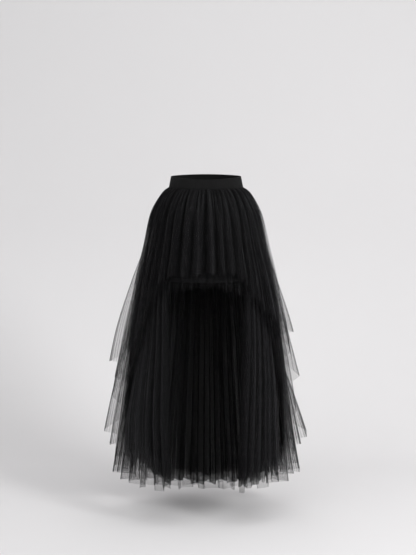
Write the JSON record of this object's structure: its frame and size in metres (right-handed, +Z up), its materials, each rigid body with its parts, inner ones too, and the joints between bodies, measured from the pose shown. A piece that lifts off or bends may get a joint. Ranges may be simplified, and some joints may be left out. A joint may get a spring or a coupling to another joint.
{
  "type": "tutu skirt",
  "caption": "High-low tulle tutu skirt: wide elastic waistband, short lined front under gathered net, and a long open-fronted net train, in its worn form.",
  "frame": {"origin": "centre of the waist, at half the waistband's height, where the wearer holds the skirt up", "axes": "+Z up through the waist opening, the short front faces -Y, the train hangs towards +Y, +X to the right as seen from the front"},
  "size_m": [0.6742, 0.528, 1.1086],
  "materials": {
    "band": "matt ribbed elastic",
    "lining": "soft woven lining",
    "tulle": "matt see-through net"
  },
  "bodies": {
    "root": {"waistband": "band", "lining": "lining", "tulle_top_layer": "tulle", "tulle_second_layer": "tulle", "tulle_train_outer": "tulle", "tulle_train_inner": "tulle"}
  },
  "joints": []
}
